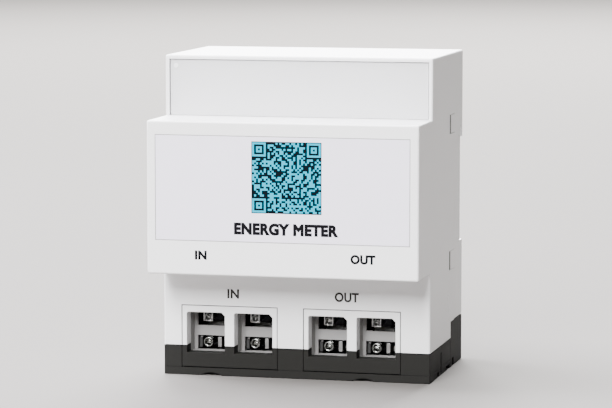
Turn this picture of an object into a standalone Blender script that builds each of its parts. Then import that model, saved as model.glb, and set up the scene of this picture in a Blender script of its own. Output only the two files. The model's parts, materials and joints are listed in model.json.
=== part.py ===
"""Smart electric meter for a 35 mm mounting rail, built as an assembly of separate pieces.

Metres, +Z up.  The origin is under the middle of the box that holds the meter: X runs to
the right, the front faces -Y and the base stands on z = 0.
"""
import math

import bmesh
import bpy
from mathutils import Matrix, Vector

MODEL_NAME = "smart_electric_meter"

# ---- Housing ----------------------------------------------------------------------------
WIDTH = 0.081
HEIGHT = 0.0955
DEPTH = 0.067
WALL = 0.0018
GAP = 0.0003
EDGE = 0.0005
NOSE_BOTTOM = 0.0325
NOSE_HEIGHT = 0.045
UPPER_SETBACK = 0.0200
LOWER_SETBACK = 0.0173
BASE_DEPTH = 0.0127
SKIRT_HEIGHT = 0.0089
SKIRT_FLOOR = 0.0020
FOOT_HEIGHT = 0.0140
FOOT_DEPTH = 0.0180
OVERRUN = 0.002

# ---- Label plate and upper flap ---------------------------------------------------------
LABEL_WIDTH = 0.0756
LABEL_BOTTOM = 0.0427
LABEL_HEIGHT = 0.0306
LABEL_THICKNESS = 0.0005
LABEL_SINK = 0.0001
FLAP_FRAME = 0.0010
FLAP_RECESS = 0.0006
FLAP_THICKNESS = 0.0016
FLAP_PIN_RADIUS = 0.0005
FLAP_PIN_LENGTH = 0.0007
SEAL_HOLE_RADIUS = 0.0007
SEAL_HOLE_INSET = 0.0020
TRAY_DEPTH = 0.0147
TRAY_WALL = 0.0012

# ---- Latches between the cover and the base ---------------------------------------------
LATCH_HEIGHT = 0.0056
LATCH_REACH = 0.0187
LATCH_SLIT = 0.0009
LATCH_BOTTOMS = (0.0300, 0.0713)

# ---- Rail recess and clip ---------------------------------------------------------------
RAIL_HEIGHT = 0.0350
RAIL_PLAY = 0.0004
RAIL_FLANGE_SPACE = 0.0018
RAIL_LIP_HEIGHT = 0.0037
RAIL_LIP_THICKNESS = 0.0017
RAIL_PAD_RISE = 0.0005
RAIL_PAD_HEIGHT = 0.0260
CLIP_WIDTH = 0.0160
CLIP_NECK_WIDTH = 0.0130
CLIP_BODY_THICKNESS = 0.0017
CLIP_BOTTOM = 0.0045
CLIP_TRAVEL = 0.0040
CLIP_SLOT_HEIGHT = 0.0012

# ---- Terminal frames and wells ----------------------------------------------------------
FRAME_CENTRES = {"in": -0.0203, "out": 0.0170}
FRAME_WIDTH = 0.0290
FRAME_TOP = 0.0209
FRAME_DEPTH = 0.0044
FRAME_FOOT_BOTTOM = 0.0026
WELL_PITCH = 0.0146
WELL_WIDTH = 0.0117
WELL_BOTTOM = 0.0068
WELL_TOP = 0.0190
WELL_CHAMFER = 0.0012
LINER_WIDTH = 0.0288
LINER_TOP = 0.0206
LINER_DEPTH = 0.0052
SHELF_THICKNESS = 0.0012
SHELF_BOTTOM = 0.0108
SHELF_TOP = 0.0138
WINDOW_JAMB = 0.00095
WINDOW_TOP = 0.0186

# ---- Terminals --------------------------------------------------------------------------
BLOCK_DEPTH = 0.0191
BLOCK_CAVITY_TOP = 0.0189
BLOCK_CAVITY_BOTTOM = 0.0061
SCREW_OFFSET = 0.00195
UPPER_SCREW_Z = 0.0162
LOWER_SCREW_Z = 0.0086
SCREW_HEAD_RADIUS = 0.0016
SCREW_HEAD_LENGTH = 0.0020
SCREW_HEAD_PROUD = 0.0005
SCREW_SHANK_RADIUS = 0.0012
SCREW_SLOT_WIDTH = 0.0005
SCREW_SLOT_DEPTH = 0.0007
CAGE_WIDTH = 0.0078
CAGE_HEIGHT = 0.0042
CAGE_SIDE = 0.0010
CAGE_END = 0.0015
CAGE_TRAVEL = 0.0040
CAGE_REST_SLACK = 0.0005
WIRE_SPACE = 0.0065
WIRE_HOLE_RADIUS = 0.0033
BUSBAR_THICKNESS = 0.0015
BUSBAR_BRIDGE_BOTTOM = 0.0112
BUSBAR_BRIDGE_TOP = 0.0136
EAR_THICKNESS = 0.0008
EAR_BOTTOM = 0.0072
EAR_TOP = 0.0102
EAR_FOLD_WIDTH = 0.0021
EAR_RISER = 0.0038
TAP_OFFSET = 0.00455
TAP_BORE_RADIUS = 0.00105
TAP_BORE_DEPTH = 0.0065
TAP_HEAD_RADIUS = 0.00075
TAP_HEAD_LENGTH = 0.0010
TAP_SHANK_RADIUS = 0.00045
TAP_LENGTH = 0.0055
LINK_BOTTOM = 0.0215
LINK_HEIGHT = 0.0040
SHUNT_BOTTOM = 0.0280
SHUNT_HEIGHT = 0.0050
SHUNT_RESISTOR_WIDTH = 0.0120
SHUNT_RESISTOR_HEIGHT = 0.0036

# ---- Boards and what they carry ---------------------------------------------------------
BOARD_THICKNESS = 0.0016
BOARD_MARGIN = 0.0025
BOARD_STANDOFF = 0.0064
POST_RADIUS = 0.0022
POST_INSET = 0.0065
BOARD_HOLE_RADIUS = 0.0013
BOARD_SCREW_RADIUS = 0.0010
BOARD_SCREW_HEAD_RADIUS = 0.0020
BOARD_SCREW_HEAD_LENGTH = 0.0012
BOARD_SCREW_GRIP = 0.0040
TRANSFORMER_CORE = (0.0180, 0.0100, 0.0150)
TRANSFORMER_COIL = (0.0120, 0.0140, 0.0190)
TRANSFORMER_X = -0.0200
CAPACITOR_RADIUS = 0.0040
CAPACITOR_LENGTH = 0.0150
CAPACITOR_X = -0.0020
CHIP_SIZE = (0.0100, 0.0014, 0.0100)
CHIP_X = 0.0140
RADIO_SIZE = (0.0160, 0.0026, 0.0120)
RADIO_X = 0.0170
BATTERY_RADIUS = 0.0060
BATTERY_THICKNESS = 0.0024
COMM_BOARD_WIDTH = 0.0500
COMM_POLES = 4
COMM_PITCH = 0.0050
COMM_BLOCK_HEIGHT = 0.0092
COMM_BLOCK_DEPTH = 0.0085
COMM_SCREW_RISE = 0.0064
COMM_ENTRY_RISE = 0.0022
COMM_ENTRY_SIZE = 0.0026
COMM_BORE_RADIUS = 0.0017
COMM_BORE_DEPTH = 0.0050
COMM_HEAD_RADIUS = 0.0013
COMM_HEAD_LENGTH = 0.0015

# ---- Skirt details ----------------------------------------------------------------------
SKIRT_SLOT = {"depth": 0.0344, "width": 0.0015, "bottom": 0.0007, "top": 0.0068}
SKIRT_NOTCHES = ((0.0300, 0.0025, 0.0015), (0.0450, 0.0060, 0.0013))
FOOT_NOTCH = (0.0530, 0.0025, 0.0025)
SCALLOP_CENTRES = (-0.0260, 0.0205)
SCALLOP_WIDTH = 0.0065
SCALLOP_DEPTH = 0.0010

# ---- Places worked out from the sizes above ---------------------------------------------
FRONT = -DEPTH / 2
REAR = DEPTH / 2
SIDE = WIDTH / 2
NOSE_TOP = NOSE_BOTTOM + NOSE_HEIGHT
UPPER_FRONT = FRONT + UPPER_SETBACK
LOWER_FRONT = FRONT + LOWER_SETBACK
BASE_SEAM = REAR - BASE_DEPTH
FOOT_SEAM = REAR - FOOT_DEPTH
INNER_SIDE = SIDE - WALL
NOSE_MIDDLE = NOSE_BOTTOM + NOSE_HEIGHT / 2
SLOT_HEIGHT = RAIL_HEIGHT + RAIL_PLAY
SLOT_BOTTOM = NOSE_MIDDLE - SLOT_HEIGHT / 2
SLOT_TOP = NOSE_MIDDLE + SLOT_HEIGHT / 2
LIP_FRONT = REAR - RAIL_LIP_THICKNESS
PAD_FACE = LIP_FRONT - RAIL_FLANGE_SPACE
SLOT_FLOOR = PAD_FACE - RAIL_PAD_RISE
LINER_FRONT = LOWER_FRONT + FRAME_DEPTH + GAP
LINER_BACK = LINER_FRONT + LINER_DEPTH
BLOCK_FRONT = LINER_BACK + GAP
BLOCK_BACK = BLOCK_FRONT + BLOCK_DEPTH
INSIDE_FLOOR = SKIRT_FLOOR + GAP
SCREW_FACE = BLOCK_FRONT - SCREW_HEAD_PROUD
HEAD_BACK = SCREW_FACE + SCREW_HEAD_LENGTH
CAGE_FRONT = HEAD_BACK + CAGE_REST_SLACK + CAGE_TRAVEL
BUSBAR_FRONT = CAGE_FRONT + CAGE_END + GAP
BUSBAR_BACK = BUSBAR_FRONT + BUSBAR_THICKNESS
CAGE_BACK = BUSBAR_BACK + WIRE_SPACE + CAGE_END
WIRE_MIDDLE = BUSBAR_BACK + WIRE_SPACE / 2
EAR_OFFSET = CAGE_WIDTH / 2 - SCREW_OFFSET + GAP
CAVITY_LEFT = -SCREW_OFFSET - CAGE_WIDTH / 2 - GAP
CAVITY_RIGHT = EAR_OFFSET + EAR_THICKNESS + GAP
BOARD_FRONT = FRONT + WALL + BOARD_STANDOFF
BOARD_BACK = BOARD_FRONT + BOARD_THICKNESS
BOARD_SIDE = INNER_SIDE - BOARD_MARGIN
BOARD_BOTTOM = NOSE_BOTTOM + WALL + GAP * 4
BOARD_TOP = NOSE_TOP - WALL - GAP * 4
FLAP_SIDE = SIDE - FLAP_FRAME - GAP
FLAP_FACE = UPPER_FRONT + FLAP_RECESS
FLAP_BACK = FLAP_FACE + FLAP_THICKNESS
FLAP_AXIS_Z = NOSE_TOP + GAP + FLAP_THICKNESS / 2
FLAP_TOP = HEIGHT - FLAP_FRAME - GAP
TRAY_FRONT = FLAP_BACK + GAP * 2
TRAY_BACK = TRAY_FRONT + TRAY_DEPTH
TRAY_BOTTOM = NOSE_TOP + GAP
TRAY_TOP = HEIGHT - WALL - GAP
WELLS = [(side, place, centre + shift)
         for side, centre in FRAME_CENTRES.items()
         for place, shift in (("left", -WELL_PITCH / 2), ("right", WELL_PITCH / 2))]

PALETTE = {
    "white_plastic": ((0.76, 0.76, 0.77), 0.45, 0.0),
    "label_film": ((0.78, 0.80, 0.84), 0.35, 0.0),
    "dark_plastic": ((0.045, 0.045, 0.044), 0.55, 0.0),
    "black_plastic": ((0.012, 0.012, 0.012), 0.5, 0.0),
    "grey_plastic": ((0.50, 0.49, 0.48), 0.5, 0.0),
    "zinc_steel": ((0.60, 0.60, 0.58), 0.3, 1.0),
    "tinned_copper": ((0.72, 0.70, 0.66), 0.3, 1.0),
    "copper": ((0.75, 0.38, 0.22), 0.35, 1.0),
    "board_green": ((0.03, 0.16, 0.07), 0.4, 0.0),
    "terminal_green": ((0.05, 0.30, 0.12), 0.5, 0.0),
    "core_steel": ((0.20, 0.20, 0.21), 0.4, 0.9),
    "capacitor_sleeve": ((0.03, 0.04, 0.10), 0.4, 0.0),
    "can_metal": ((0.62, 0.62, 0.62), 0.3, 1.0),
}

parts = bpy.data.collections.new(MODEL_NAME)
cutters = bpy.data.collections.new(MODEL_NAME + "_cutters")


# ---- Tools ------------------------------------------------------------------------------
def clear_scene():
    for old in list(bpy.data.objects):
        bpy.data.objects.remove(old)
    bpy.context.scene.collection.children.link(parts)
    bpy.context.scene.collection.children.link(cutters)


def material(name):
    if name in bpy.data.materials:
        return bpy.data.materials[name]
    colour, roughness, metallic = PALETTE[name]
    made = bpy.data.materials.new(name)
    made.use_nodes = True
    shader = made.node_tree.nodes["Principled BSDF"]
    shader.inputs["Base Color"].default_value = (*colour, 1.0)
    shader.inputs["Roughness"].default_value = roughness
    shader.inputs["Metallic"].default_value = metallic
    return made


def place(name, mesh, location, look):
    """Put a mesh in the scene, as a part when it has a look and as a cutter when not."""
    made = bpy.data.objects.new(name, mesh)
    made.location = location
    if look:
        mesh.materials.append(material(look))
        parts.objects.link(made)
    else:
        cutters.objects.link(made)
        made.hide_render = True
        made.display_type = "WIRE"
    return made


def box(name, x, y, z, look=None, origin=None):
    """A box between (low, high) pairs; its origin is its middle unless one is given."""
    lows = Vector((x[0], y[0], z[0]))
    highs = Vector((x[1], y[1], z[1]))
    middle = (lows + highs) / 2
    origin = middle if origin is None else Vector(origin)
    mesh = bpy.data.meshes.new(name)
    bm = bmesh.new()
    bmesh.ops.create_cube(bm, size=1.0)
    bmesh.ops.scale(bm, vec=highs - lows, verts=bm.verts)
    bmesh.ops.translate(bm, vec=middle - origin, verts=bm.verts)
    bm.to_mesh(mesh)
    bm.free()
    return place(name, mesh, origin, look)


def rod(name, axis, radius, centre, span, look=None, sides=24):
    """A cylinder along X, Y or Z; centre holds its other two coordinates, in order."""
    mesh = bpy.data.meshes.new(name)
    bm = bmesh.new()
    bmesh.ops.create_cone(bm, cap_ends=True, segments=sides, radius1=radius,
                          radius2=radius, depth=span[1] - span[0])
    turn = {"X": Matrix.Rotation(math.pi / 2, 3, "Y"),
            "Y": Matrix.Rotation(-math.pi / 2, 3, "X"),
            "Z": Matrix.Identity(3)}[axis]
    bmesh.ops.rotate(bm, matrix=turn, verts=bm.verts)
    bm.to_mesh(mesh)
    bm.free()
    mesh.shade_smooth()
    mesh.set_sharp_from_angle(angle=math.radians(40))
    middle = list(centre)
    middle.insert("XYZ".index(axis), (span[0] + span[1]) / 2)
    return place(name, mesh, middle, look)


def outline(name, axis, points, span, look=None):
    """A flat outline made thick along X, Y or Z, from a filled two-dimensional curve."""
    curve = bpy.data.curves.new(name, "CURVE")
    curve.dimensions = "2D"
    curve.fill_mode = "BOTH"
    curve.extrude = (span[1] - span[0]) / 2
    spline = curve.splines.new("POLY")
    spline.points.add(len(points) - 1)
    for point, (first, second) in zip(spline.points, points):
        point.co = (first, second, 0, 1)
    spline.use_cyclic_u = True
    drawn = bpy.data.objects.new(name + "_curve", curve)
    cutters.objects.link(drawn)
    bpy.context.view_layer.update()
    depsgraph = bpy.context.evaluated_depsgraph_get()
    mesh = bpy.data.meshes.new_from_object(drawn.evaluated_get(depsgraph))
    bpy.data.objects.remove(drawn)
    bm = bmesh.new()
    bm.from_mesh(mesh)
    bmesh.ops.remove_doubles(bm, verts=bm.verts, dist=1e-6)
    turn = {"X": Matrix(((0, 0, 1), (1, 0, 0), (0, 1, 0))),
            "Y": Matrix(((1, 0, 0), (0, 0, -1), (0, 1, 0))),
            "Z": Matrix.Identity(3)}[axis]
    bmesh.ops.rotate(bm, matrix=turn, verts=bm.verts)
    bmesh.ops.recalc_face_normals(bm, faces=bm.faces)
    bmesh.ops.dissolve_limit(bm, angle_limit=0.01, verts=bm.verts, edges=bm.edges)
    bm.to_mesh(mesh)
    bm.free()
    middle = Vector((0, 0, 0))
    middle["XYZ".index(axis)] = (span[0] + span[1]) / 2
    return place(name, mesh, middle, look)


def soften(target, width=EDGE, segments=2):
    bevel = target.modifiers.new("edges", "BEVEL")
    bevel.width = width
    bevel.segments = segments
    bevel.limit_method = "ANGLE"
    bevel.angle_limit = math.radians(40)


def combine(target, tool, operation):
    step = target.modifiers.new(tool.name, "BOOLEAN")
    step.operation = operation
    step.solver = "EXACT"
    step.object = tool


def cut(target, *tools):
    for tool in tools:
        combine(target, tool, "DIFFERENCE")


def join(target, *tools):
    for tool in tools:
        combine(target, tool, "UNION")


def trim(target, name, y=None, z=None):
    """Cut a softened piece back to a seam plane, so that its edge there stays sharp."""
    open_y = (FRONT - OVERRUN, REAR + OVERRUN)
    open_z = (-OVERRUN, HEIGHT + OVERRUN)
    cut(target, box(f"{target.name}_{name}", (-SIDE - OVERRUN, SIDE + OVERRUN),
                    y or open_y, z or open_z))


def around(middle, size):
    return (middle - size / 2, middle + size / 2)


def wider(span, extra):
    return (span[0] - extra, span[1] + extra)


# ---- Housing ----------------------------------------------------------------------------
def side_profile(inset, rear, bottom):
    """The cover's stepped side outline, moved inwards by a wall, open past rear and bottom."""
    return [
        (LOWER_FRONT + inset, bottom),
        (LOWER_FRONT + inset, NOSE_BOTTOM + inset),
        (FRONT + inset, NOSE_BOTTOM + inset),
        (FRONT + inset, NOSE_TOP - inset),
        (UPPER_FRONT + inset, NOSE_TOP - inset),
        (UPPER_FRONT + inset, HEIGHT - inset),
        (rear, HEIGHT - inset),
    ]


def front_cover():
    bottom = SKIRT_HEIGHT + GAP / 2
    rear = BASE_SEAM - GAP / 2
    step_top = FOOT_HEIGHT + GAP / 2
    step_front = FOOT_SEAM - GAP / 2
    outer = side_profile(0, rear + EDGE, bottom - EDGE)
    outer += [(rear + EDGE, step_top - EDGE), (step_front + EDGE, step_top - EDGE),
              (step_front + EDGE, bottom - EDGE)]
    cover = outline("front_cover", "X", outer, (-SIDE, SIDE), "white_plastic")
    soften(cover)
    trim(cover, "rear_trim", y=(rear, rear + OVERRUN))
    trim(cover, "step_trim", y=(step_front, rear + OVERRUN), z=(bottom - OVERRUN, step_top))
    trim(cover, "bottom_trim", z=(bottom - OVERRUN, bottom))
    inner = side_profile(WALL, rear + OVERRUN, bottom - OVERRUN)
    inner += [(rear + OVERRUN, bottom - OVERRUN)]
    cut(cover, outline("cover_inside", "X", inner, (-INNER_SIDE, INNER_SIDE)))
    for side, centre in FRAME_CENTRES.items():
        cut(cover, box(f"frame_window_{side}",
                       wider(around(centre, FRAME_WIDTH), GAP),
                       (LOWER_FRONT - OVERRUN, LOWER_FRONT + WALL + OVERRUN),
                       (bottom - OVERRUN, FRAME_TOP + GAP)))
    cut(cover, box("flap_rebate", (-FLAP_SIDE - GAP, FLAP_SIDE + GAP),
                   (UPPER_FRONT - OVERRUN, FLAP_BACK + GAP),
                   (NOSE_TOP, FLAP_TOP + GAP)))
    reach = FLAP_SIDE + FLAP_PIN_LENGTH + GAP
    cut(cover, rod("flap_pin_holes", "X", FLAP_PIN_RADIUS + GAP,
                   (FLAP_FACE + FLAP_THICKNESS / 2, FLAP_AXIS_Z), (-reach, reach)))
    for level, low in zip(("lower", "upper"), LATCH_BOTTOMS):
        span_z = wider((low, low + LATCH_HEIGHT), GAP)
        front = REAR - LATCH_REACH - LATCH_SLIT
        for sign, hand in ((-1, "left"), (1, "right")):
            edges = sorted((sign * (INNER_SIDE - OVERRUN), sign * (SIDE + OVERRUN)))
            cut(cover, box(f"latch_window_{level}_{hand}", edges, (front, rear + OVERRUN),
                           span_z))
    floor = FRONT + LABEL_SINK + LABEL_THICKNESS + GAP
    cut(cover, box("label_recess", (-LABEL_WIDTH / 2 - GAP, LABEL_WIDTH / 2 + GAP),
                   (FRONT - OVERRUN, floor),
                   wider((LABEL_BOTTOM, LABEL_BOTTOM + LABEL_HEIGHT), GAP)))
    for name, x, z in board_corners():
        post = rod(f"post_{name}", "Y", POST_RADIUS, (x, z),
                   (floor + WALL / 4, BOARD_FRONT - GAP))
        bore = rod(f"post_bore_{name}", "Y", BOARD_SCREW_RADIUS + GAP, (x, z),
                   (FRONT + WALL + GAP, BOARD_FRONT + OVERRUN))
        join(cover, post)
        cut(cover, bore)


def label_plate():
    face = FRONT + LABEL_SINK
    plate = box("label_plate", (-LABEL_WIDTH / 2, LABEL_WIDTH / 2),
                (face, face + LABEL_THICKNESS),
                (LABEL_BOTTOM, LABEL_BOTTOM + LABEL_HEIGHT), "label_film")
    soften(plate, LABEL_THICKNESS / 5, 1)


def upper_flap():
    """The lid over the upper compartment; its bottom edge is round, on the hinge's axis."""
    axis_y = FLAP_FACE + FLAP_THICKNESS / 2
    flap = box("upper_flap", (-FLAP_SIDE, FLAP_SIDE), (FLAP_FACE, FLAP_BACK),
               (FLAP_AXIS_Z, FLAP_TOP), "white_plastic", origin=(0, axis_y, FLAP_AXIS_Z))
    join(flap, rod("flap_bead", "X", FLAP_THICKNESS / 2, (axis_y, FLAP_AXIS_Z),
                   (-FLAP_SIDE, FLAP_SIDE)))
    reach = FLAP_SIDE + FLAP_PIN_LENGTH
    join(flap, rod("flap_pins", "X", FLAP_PIN_RADIUS, (axis_y, FLAP_AXIS_Z),
                   (-reach, reach), sides=16))
    cut(flap, rod("seal_hole", "Y", SEAL_HOLE_RADIUS,
                  (-FLAP_SIDE + SEAL_HOLE_INSET, FLAP_TOP - SEAL_HOLE_INSET + GAP),
                  (FLAP_FACE - OVERRUN, FLAP_BACK + OVERRUN), sides=16))


def compartment_tray():
    side = INNER_SIDE - GAP
    tray = box("compartment_tray", (-side, side), (TRAY_FRONT, TRAY_BACK),
               (TRAY_BOTTOM, TRAY_TOP), "grey_plastic")
    cut(tray, box("tray_inside", (-side + TRAY_WALL, side - TRAY_WALL),
                  (TRAY_FRONT - OVERRUN, TRAY_BACK - TRAY_WALL),
                  (TRAY_BOTTOM + TRAY_WALL, TRAY_TOP - TRAY_WALL)))


def rear_base():
    seam = BASE_SEAM + GAP / 2
    bottom = FOOT_HEIGHT + GAP / 2
    base = box("rear_base", (-SIDE, SIDE), (seam - EDGE, REAR), (bottom - EDGE, HEIGHT),
               "white_plastic")
    soften(base)
    trim(base, "seam_trim", y=(seam - OVERRUN, seam))
    trim(base, "bottom_trim", z=(bottom - OVERRUN, bottom))
    cut(base, box("base_inside", (-INNER_SIDE, INNER_SIDE),
                  (seam - OVERRUN, SLOT_FLOOR - WALL), (bottom - OVERRUN, HEIGHT - WALL)))
    full = (-SIDE - OVERRUN, SIDE + OVERRUN)
    recess = box("rail_recess", full, (SLOT_FLOOR, REAR + OVERRUN),
                 (SLOT_BOTTOM, SLOT_TOP - RAIL_LIP_HEIGHT))
    behind_lip = box("rail_behind_lip", full, (SLOT_FLOOR, LIP_FRONT),
                     (SLOT_TOP - 2 * RAIL_LIP_HEIGHT, SLOT_TOP))
    cut(base, recess, behind_lip)
    join(base, box("rail_pad", (-INNER_SIDE, INNER_SIDE),
                   (SLOT_FLOOR - WALL / 2, PAD_FACE), around(NOSE_MIDDLE, RAIL_PAD_HEIGHT)))
    cut(base, *clip_channel("base", bottom))
    front = REAR - LATCH_REACH
    for level, low in zip(("lower", "upper"), LATCH_BOTTOMS):
        for sign, hand in ((-1, "left"), (1, "right")):
            edges = sorted((sign * INNER_SIDE, sign * SIDE))
            join(base, box(f"latch_{level}_{hand}", edges, (front, seam + WALL),
                           (low, low + LATCH_HEIGHT)))


def clip_channel(owner, bottom):
    """The T-shaped channel that the clip slides in, cut up to the rail recess."""
    wide = box(f"{owner}_channel", around(0, CLIP_WIDTH + 2 * GAP),
               (SLOT_FLOOR, SLOT_FLOOR + CLIP_BODY_THICKNESS + 2 * GAP),
               (bottom - OVERRUN, SLOT_BOTTOM + OVERRUN))
    neck = box(f"{owner}_channel_neck", around(0, CLIP_NECK_WIDTH + 2 * GAP),
               (SLOT_FLOOR + CLIP_BODY_THICKNESS, REAR + OVERRUN),
               (bottom - OVERRUN, SLOT_BOTTOM + OVERRUN))
    return wide, neck


def rail_clip():
    body = (SLOT_FLOOR + GAP, SLOT_FLOOR + GAP + CLIP_BODY_THICKNESS)
    top = SLOT_BOTTOM - GAP
    clip = box("rail_clip", around(0, CLIP_WIDTH), body, (CLIP_BOTTOM, top), "grey_plastic")
    neck_top = SLOT_BOTTOM + RAIL_LIP_HEIGHT
    join(clip, box("clip_neck", around(0, CLIP_NECK_WIDTH),
                   (body[1] - GAP, LIP_FRONT + GAP), (CLIP_BOTTOM, top)))
    join(clip, box("clip_lip", around(0, CLIP_NECK_WIDTH - GAP),
                   (LIP_FRONT, REAR - GAP), (CLIP_BOTTOM + GAP, neck_top)))
    cut(clip, box("clip_pry_slot", around(0, CLIP_NECK_WIDTH / 2),
                  (REAR - RAIL_LIP_THICKNESS, REAR + OVERRUN),
                  (CLIP_BOTTOM + WALL, CLIP_BOTTOM + WALL + CLIP_SLOT_HEIGHT)))


def scallops():
    radius = (SCALLOP_WIDTH ** 2 / 4 + SCALLOP_DEPTH ** 2) / (2 * SCALLOP_DEPTH)
    return [rod(f"scallop_{number}", "Y", radius, (x, SCALLOP_DEPTH - radius),
                (LOWER_FRONT - OVERRUN, LOWER_FRONT + WALL), sides=48)
            for number, x in enumerate(SCALLOP_CENTRES, 1)]


def side_notch(owner, depth, width, height, bottom=-OVERRUN):
    """A notch through both side walls, at a depth measured from the meter's front."""
    return box(f"{owner}_notch_{round(depth * 1e4)}", (-SIDE - OVERRUN, SIDE + OVERRUN),
               around(FRONT + depth, width), (bottom, height))


def bottom_skirt():
    top = SKIRT_HEIGHT - GAP / 2
    rear = FOOT_SEAM - GAP / 2
    skirt = box("bottom_skirt", (-SIDE, SIDE), (LOWER_FRONT, rear + EDGE), (0, top + EDGE),
                "dark_plastic")
    soften(skirt, EDGE / 2)
    trim(skirt, "rear_trim", y=(rear, rear + OVERRUN))
    trim(skirt, "top_trim", z=(top, top + OVERRUN))
    cut(skirt, box("skirt_inside", (-INNER_SIDE, INNER_SIDE),
                   (LOWER_FRONT + WALL, rear + OVERRUN), (SKIRT_FLOOR, top + OVERRUN)))
    for side, centre in FRAME_CENTRES.items():
        cut(skirt, box(f"foot_window_{side}", wider(around(centre, FRAME_WIDTH), GAP),
                       (LOWER_FRONT - OVERRUN, LOWER_FRONT + WALL + OVERRUN),
                       (FRAME_FOOT_BOTTOM - GAP, top + OVERRUN)))
    for side, place_name, centre in WELLS:
        cut(skirt, wire_hole(f"skirt_wire_{side}_{place_name}", centre,
                             (-OVERRUN, SKIRT_FLOOR + OVERRUN)))
    cut(skirt, *scallops())
    slot = SKIRT_SLOT
    cut(skirt, side_notch("slot", slot["depth"], slot["width"], slot["top"], slot["bottom"]))
    for notch in SKIRT_NOTCHES:
        cut(skirt, side_notch("skirt", *notch))


def wire_hole(name, centre, span):
    return rod(name, "Z", WIRE_HOLE_RADIUS, (centre - SCREW_OFFSET, WIRE_MIDDLE), span)


def rear_foot():
    front = FOOT_SEAM + GAP / 2
    top = FOOT_HEIGHT - GAP / 2
    foot = box("rear_foot", (-SIDE, SIDE), (front - EDGE, REAR), (0, top + EDGE),
               "dark_plastic")
    soften(foot, EDGE / 2)
    trim(foot, "front_trim", y=(front - OVERRUN, front))
    trim(foot, "top_trim", z=(top, top + OVERRUN))
    cut(foot, box("foot_inside", (-INNER_SIDE, INNER_SIDE),
                  (front - OVERRUN, SLOT_FLOOR - WALL), (SKIRT_FLOOR, top + OVERRUN)))
    cut(foot, *clip_channel("foot", 0))
    cut(foot, side_notch("foot", *FOOT_NOTCH))


# ---- Terminals --------------------------------------------------------------------------
def well_tunnels(owner, side, bottom, span):
    """The two well openings of one frame, with their top corners cut off."""
    half = WELL_WIDTH / 2
    tools = []
    for well_side, place_name, centre in WELLS:
        if well_side != side:
            continue
        points = [(centre - half, bottom), (centre + half, bottom),
                  (centre + half, WELL_TOP - WELL_CHAMFER),
                  (centre + half - WELL_CHAMFER, WELL_TOP),
                  (centre - half + WELL_CHAMFER, WELL_TOP),
                  (centre - half, WELL_TOP - WELL_CHAMFER)]
        tools.append(outline(f"{owner}_well_{side}_{place_name}", "Y", points, span))
    return tools


def terminal_frame(side):
    """The white frame round two wells and the dark foot under it, which pull off together."""
    across = around(FRAME_CENTRES[side], FRAME_WIDTH)
    deep = (LOWER_FRONT, LOWER_FRONT + FRAME_DEPTH)
    through = wider(deep, OVERRUN)
    frame = box(f"terminal_frame_{side}", across, deep,
                (SKIRT_HEIGHT + GAP / 2, FRAME_TOP), "white_plastic")
    soften(frame, EDGE / 4, 1)
    cut(frame, *well_tunnels("frame", side, WELL_BOTTOM, through))
    foot = box(f"frame_foot_{side}", across, deep,
               (FRAME_FOOT_BOTTOM, SKIRT_HEIGHT - GAP / 2), "dark_plastic")
    soften(foot, EDGE / 4, 1)
    cut(foot, *well_tunnels("foot", side, WELL_BOTTOM, through))


def terminal_liner(side):
    """The light lining of two wells; a shelf parts the upper window from the lower one."""
    across = around(FRAME_CENTRES[side], LINER_WIDTH)
    liner = box(f"terminal_liner_{side}", across, (LINER_FRONT, LINER_BACK),
                (INSIDE_FLOOR, LINER_TOP), "grey_plastic")
    shelf_face = LINER_BACK - SHELF_THICKNESS
    cut(liner, *well_tunnels("liner", side, WELL_BOTTOM - GAP,
                             (LINER_FRONT - OVERRUN, shelf_face)))
    half = WELL_WIDTH / 2
    for well_side, place_name, centre in WELLS:
        if well_side != side:
            continue
        window_x = (centre - half + WINDOW_JAMB, centre + half)
        deep = (shelf_face - GAP, LINER_BACK + OVERRUN)
        cut(liner,
            box(f"upper_window_{side}_{place_name}", window_x, deep,
                (SHELF_TOP, WINDOW_TOP)),
            box(f"lower_window_{side}_{place_name}", window_x, deep,
                (WELL_BOTTOM - GAP, SHELF_BOTTOM)))


def terminal_block(side):
    """The black body that guides the cages, holds the busbars and takes the wires."""
    across = around(FRAME_CENTRES[side], LINER_WIDTH)
    block = box(f"terminal_block_{side}", across, (BLOCK_FRONT, BLOCK_BACK),
                (INSIDE_FLOOR, LINER_TOP), "black_plastic")
    for well_side, place_name, centre in WELLS:
        if well_side != side:
            continue
        tag = f"{side}_{place_name}"
        cavity = box(f"cavity_{tag}", (centre + CAVITY_LEFT, centre + CAVITY_RIGHT),
                     (BLOCK_FRONT - OVERRUN, CAGE_BACK + GAP),
                     (BLOCK_CAVITY_BOTTOM, BLOCK_CAVITY_TOP))
        slot = box(f"busbar_slot_{tag}",
                   wider(around(centre - SCREW_OFFSET, busbar_width()), GAP),
                   wider((BUSBAR_FRONT, BUSBAR_BACK), GAP),
                   (BLOCK_CAVITY_TOP - OVERRUN, LINER_TOP + OVERRUN))
        bore = rod(f"tap_bore_{tag}", "Y", TAP_BORE_RADIUS,
                   (centre + TAP_OFFSET, LOWER_SCREW_Z),
                   (BLOCK_FRONT - OVERRUN, BLOCK_FRONT + TAP_BORE_DEPTH), sides=16)
        entry = wire_hole(f"block_wire_{tag}", centre,
                          (INSIDE_FLOOR - OVERRUN, BLOCK_CAVITY_BOTTOM + GAP))
        cut(block, cavity, slot, bore, entry)


def turned_screw(name, x, z, face, head, shank, tip, look):
    """A slotted screw facing -Y; head and shank are (radius, length to its end) values."""
    head_radius, head_length = head
    screw = rod(name, "Y", head_radius, (x, z), (face, face + head_length), look)
    join(screw, rod(f"{name}_shank", "Y", shank, (x, z), (face + head_length / 2, tip),
                    sides=16))
    cut(screw, box(f"{name}_slot", around(x, head_radius * 3),
                   (face - OVERRUN, face + SCREW_SLOT_DEPTH),
                   around(z, SCREW_SLOT_WIDTH)))
    return screw


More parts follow.
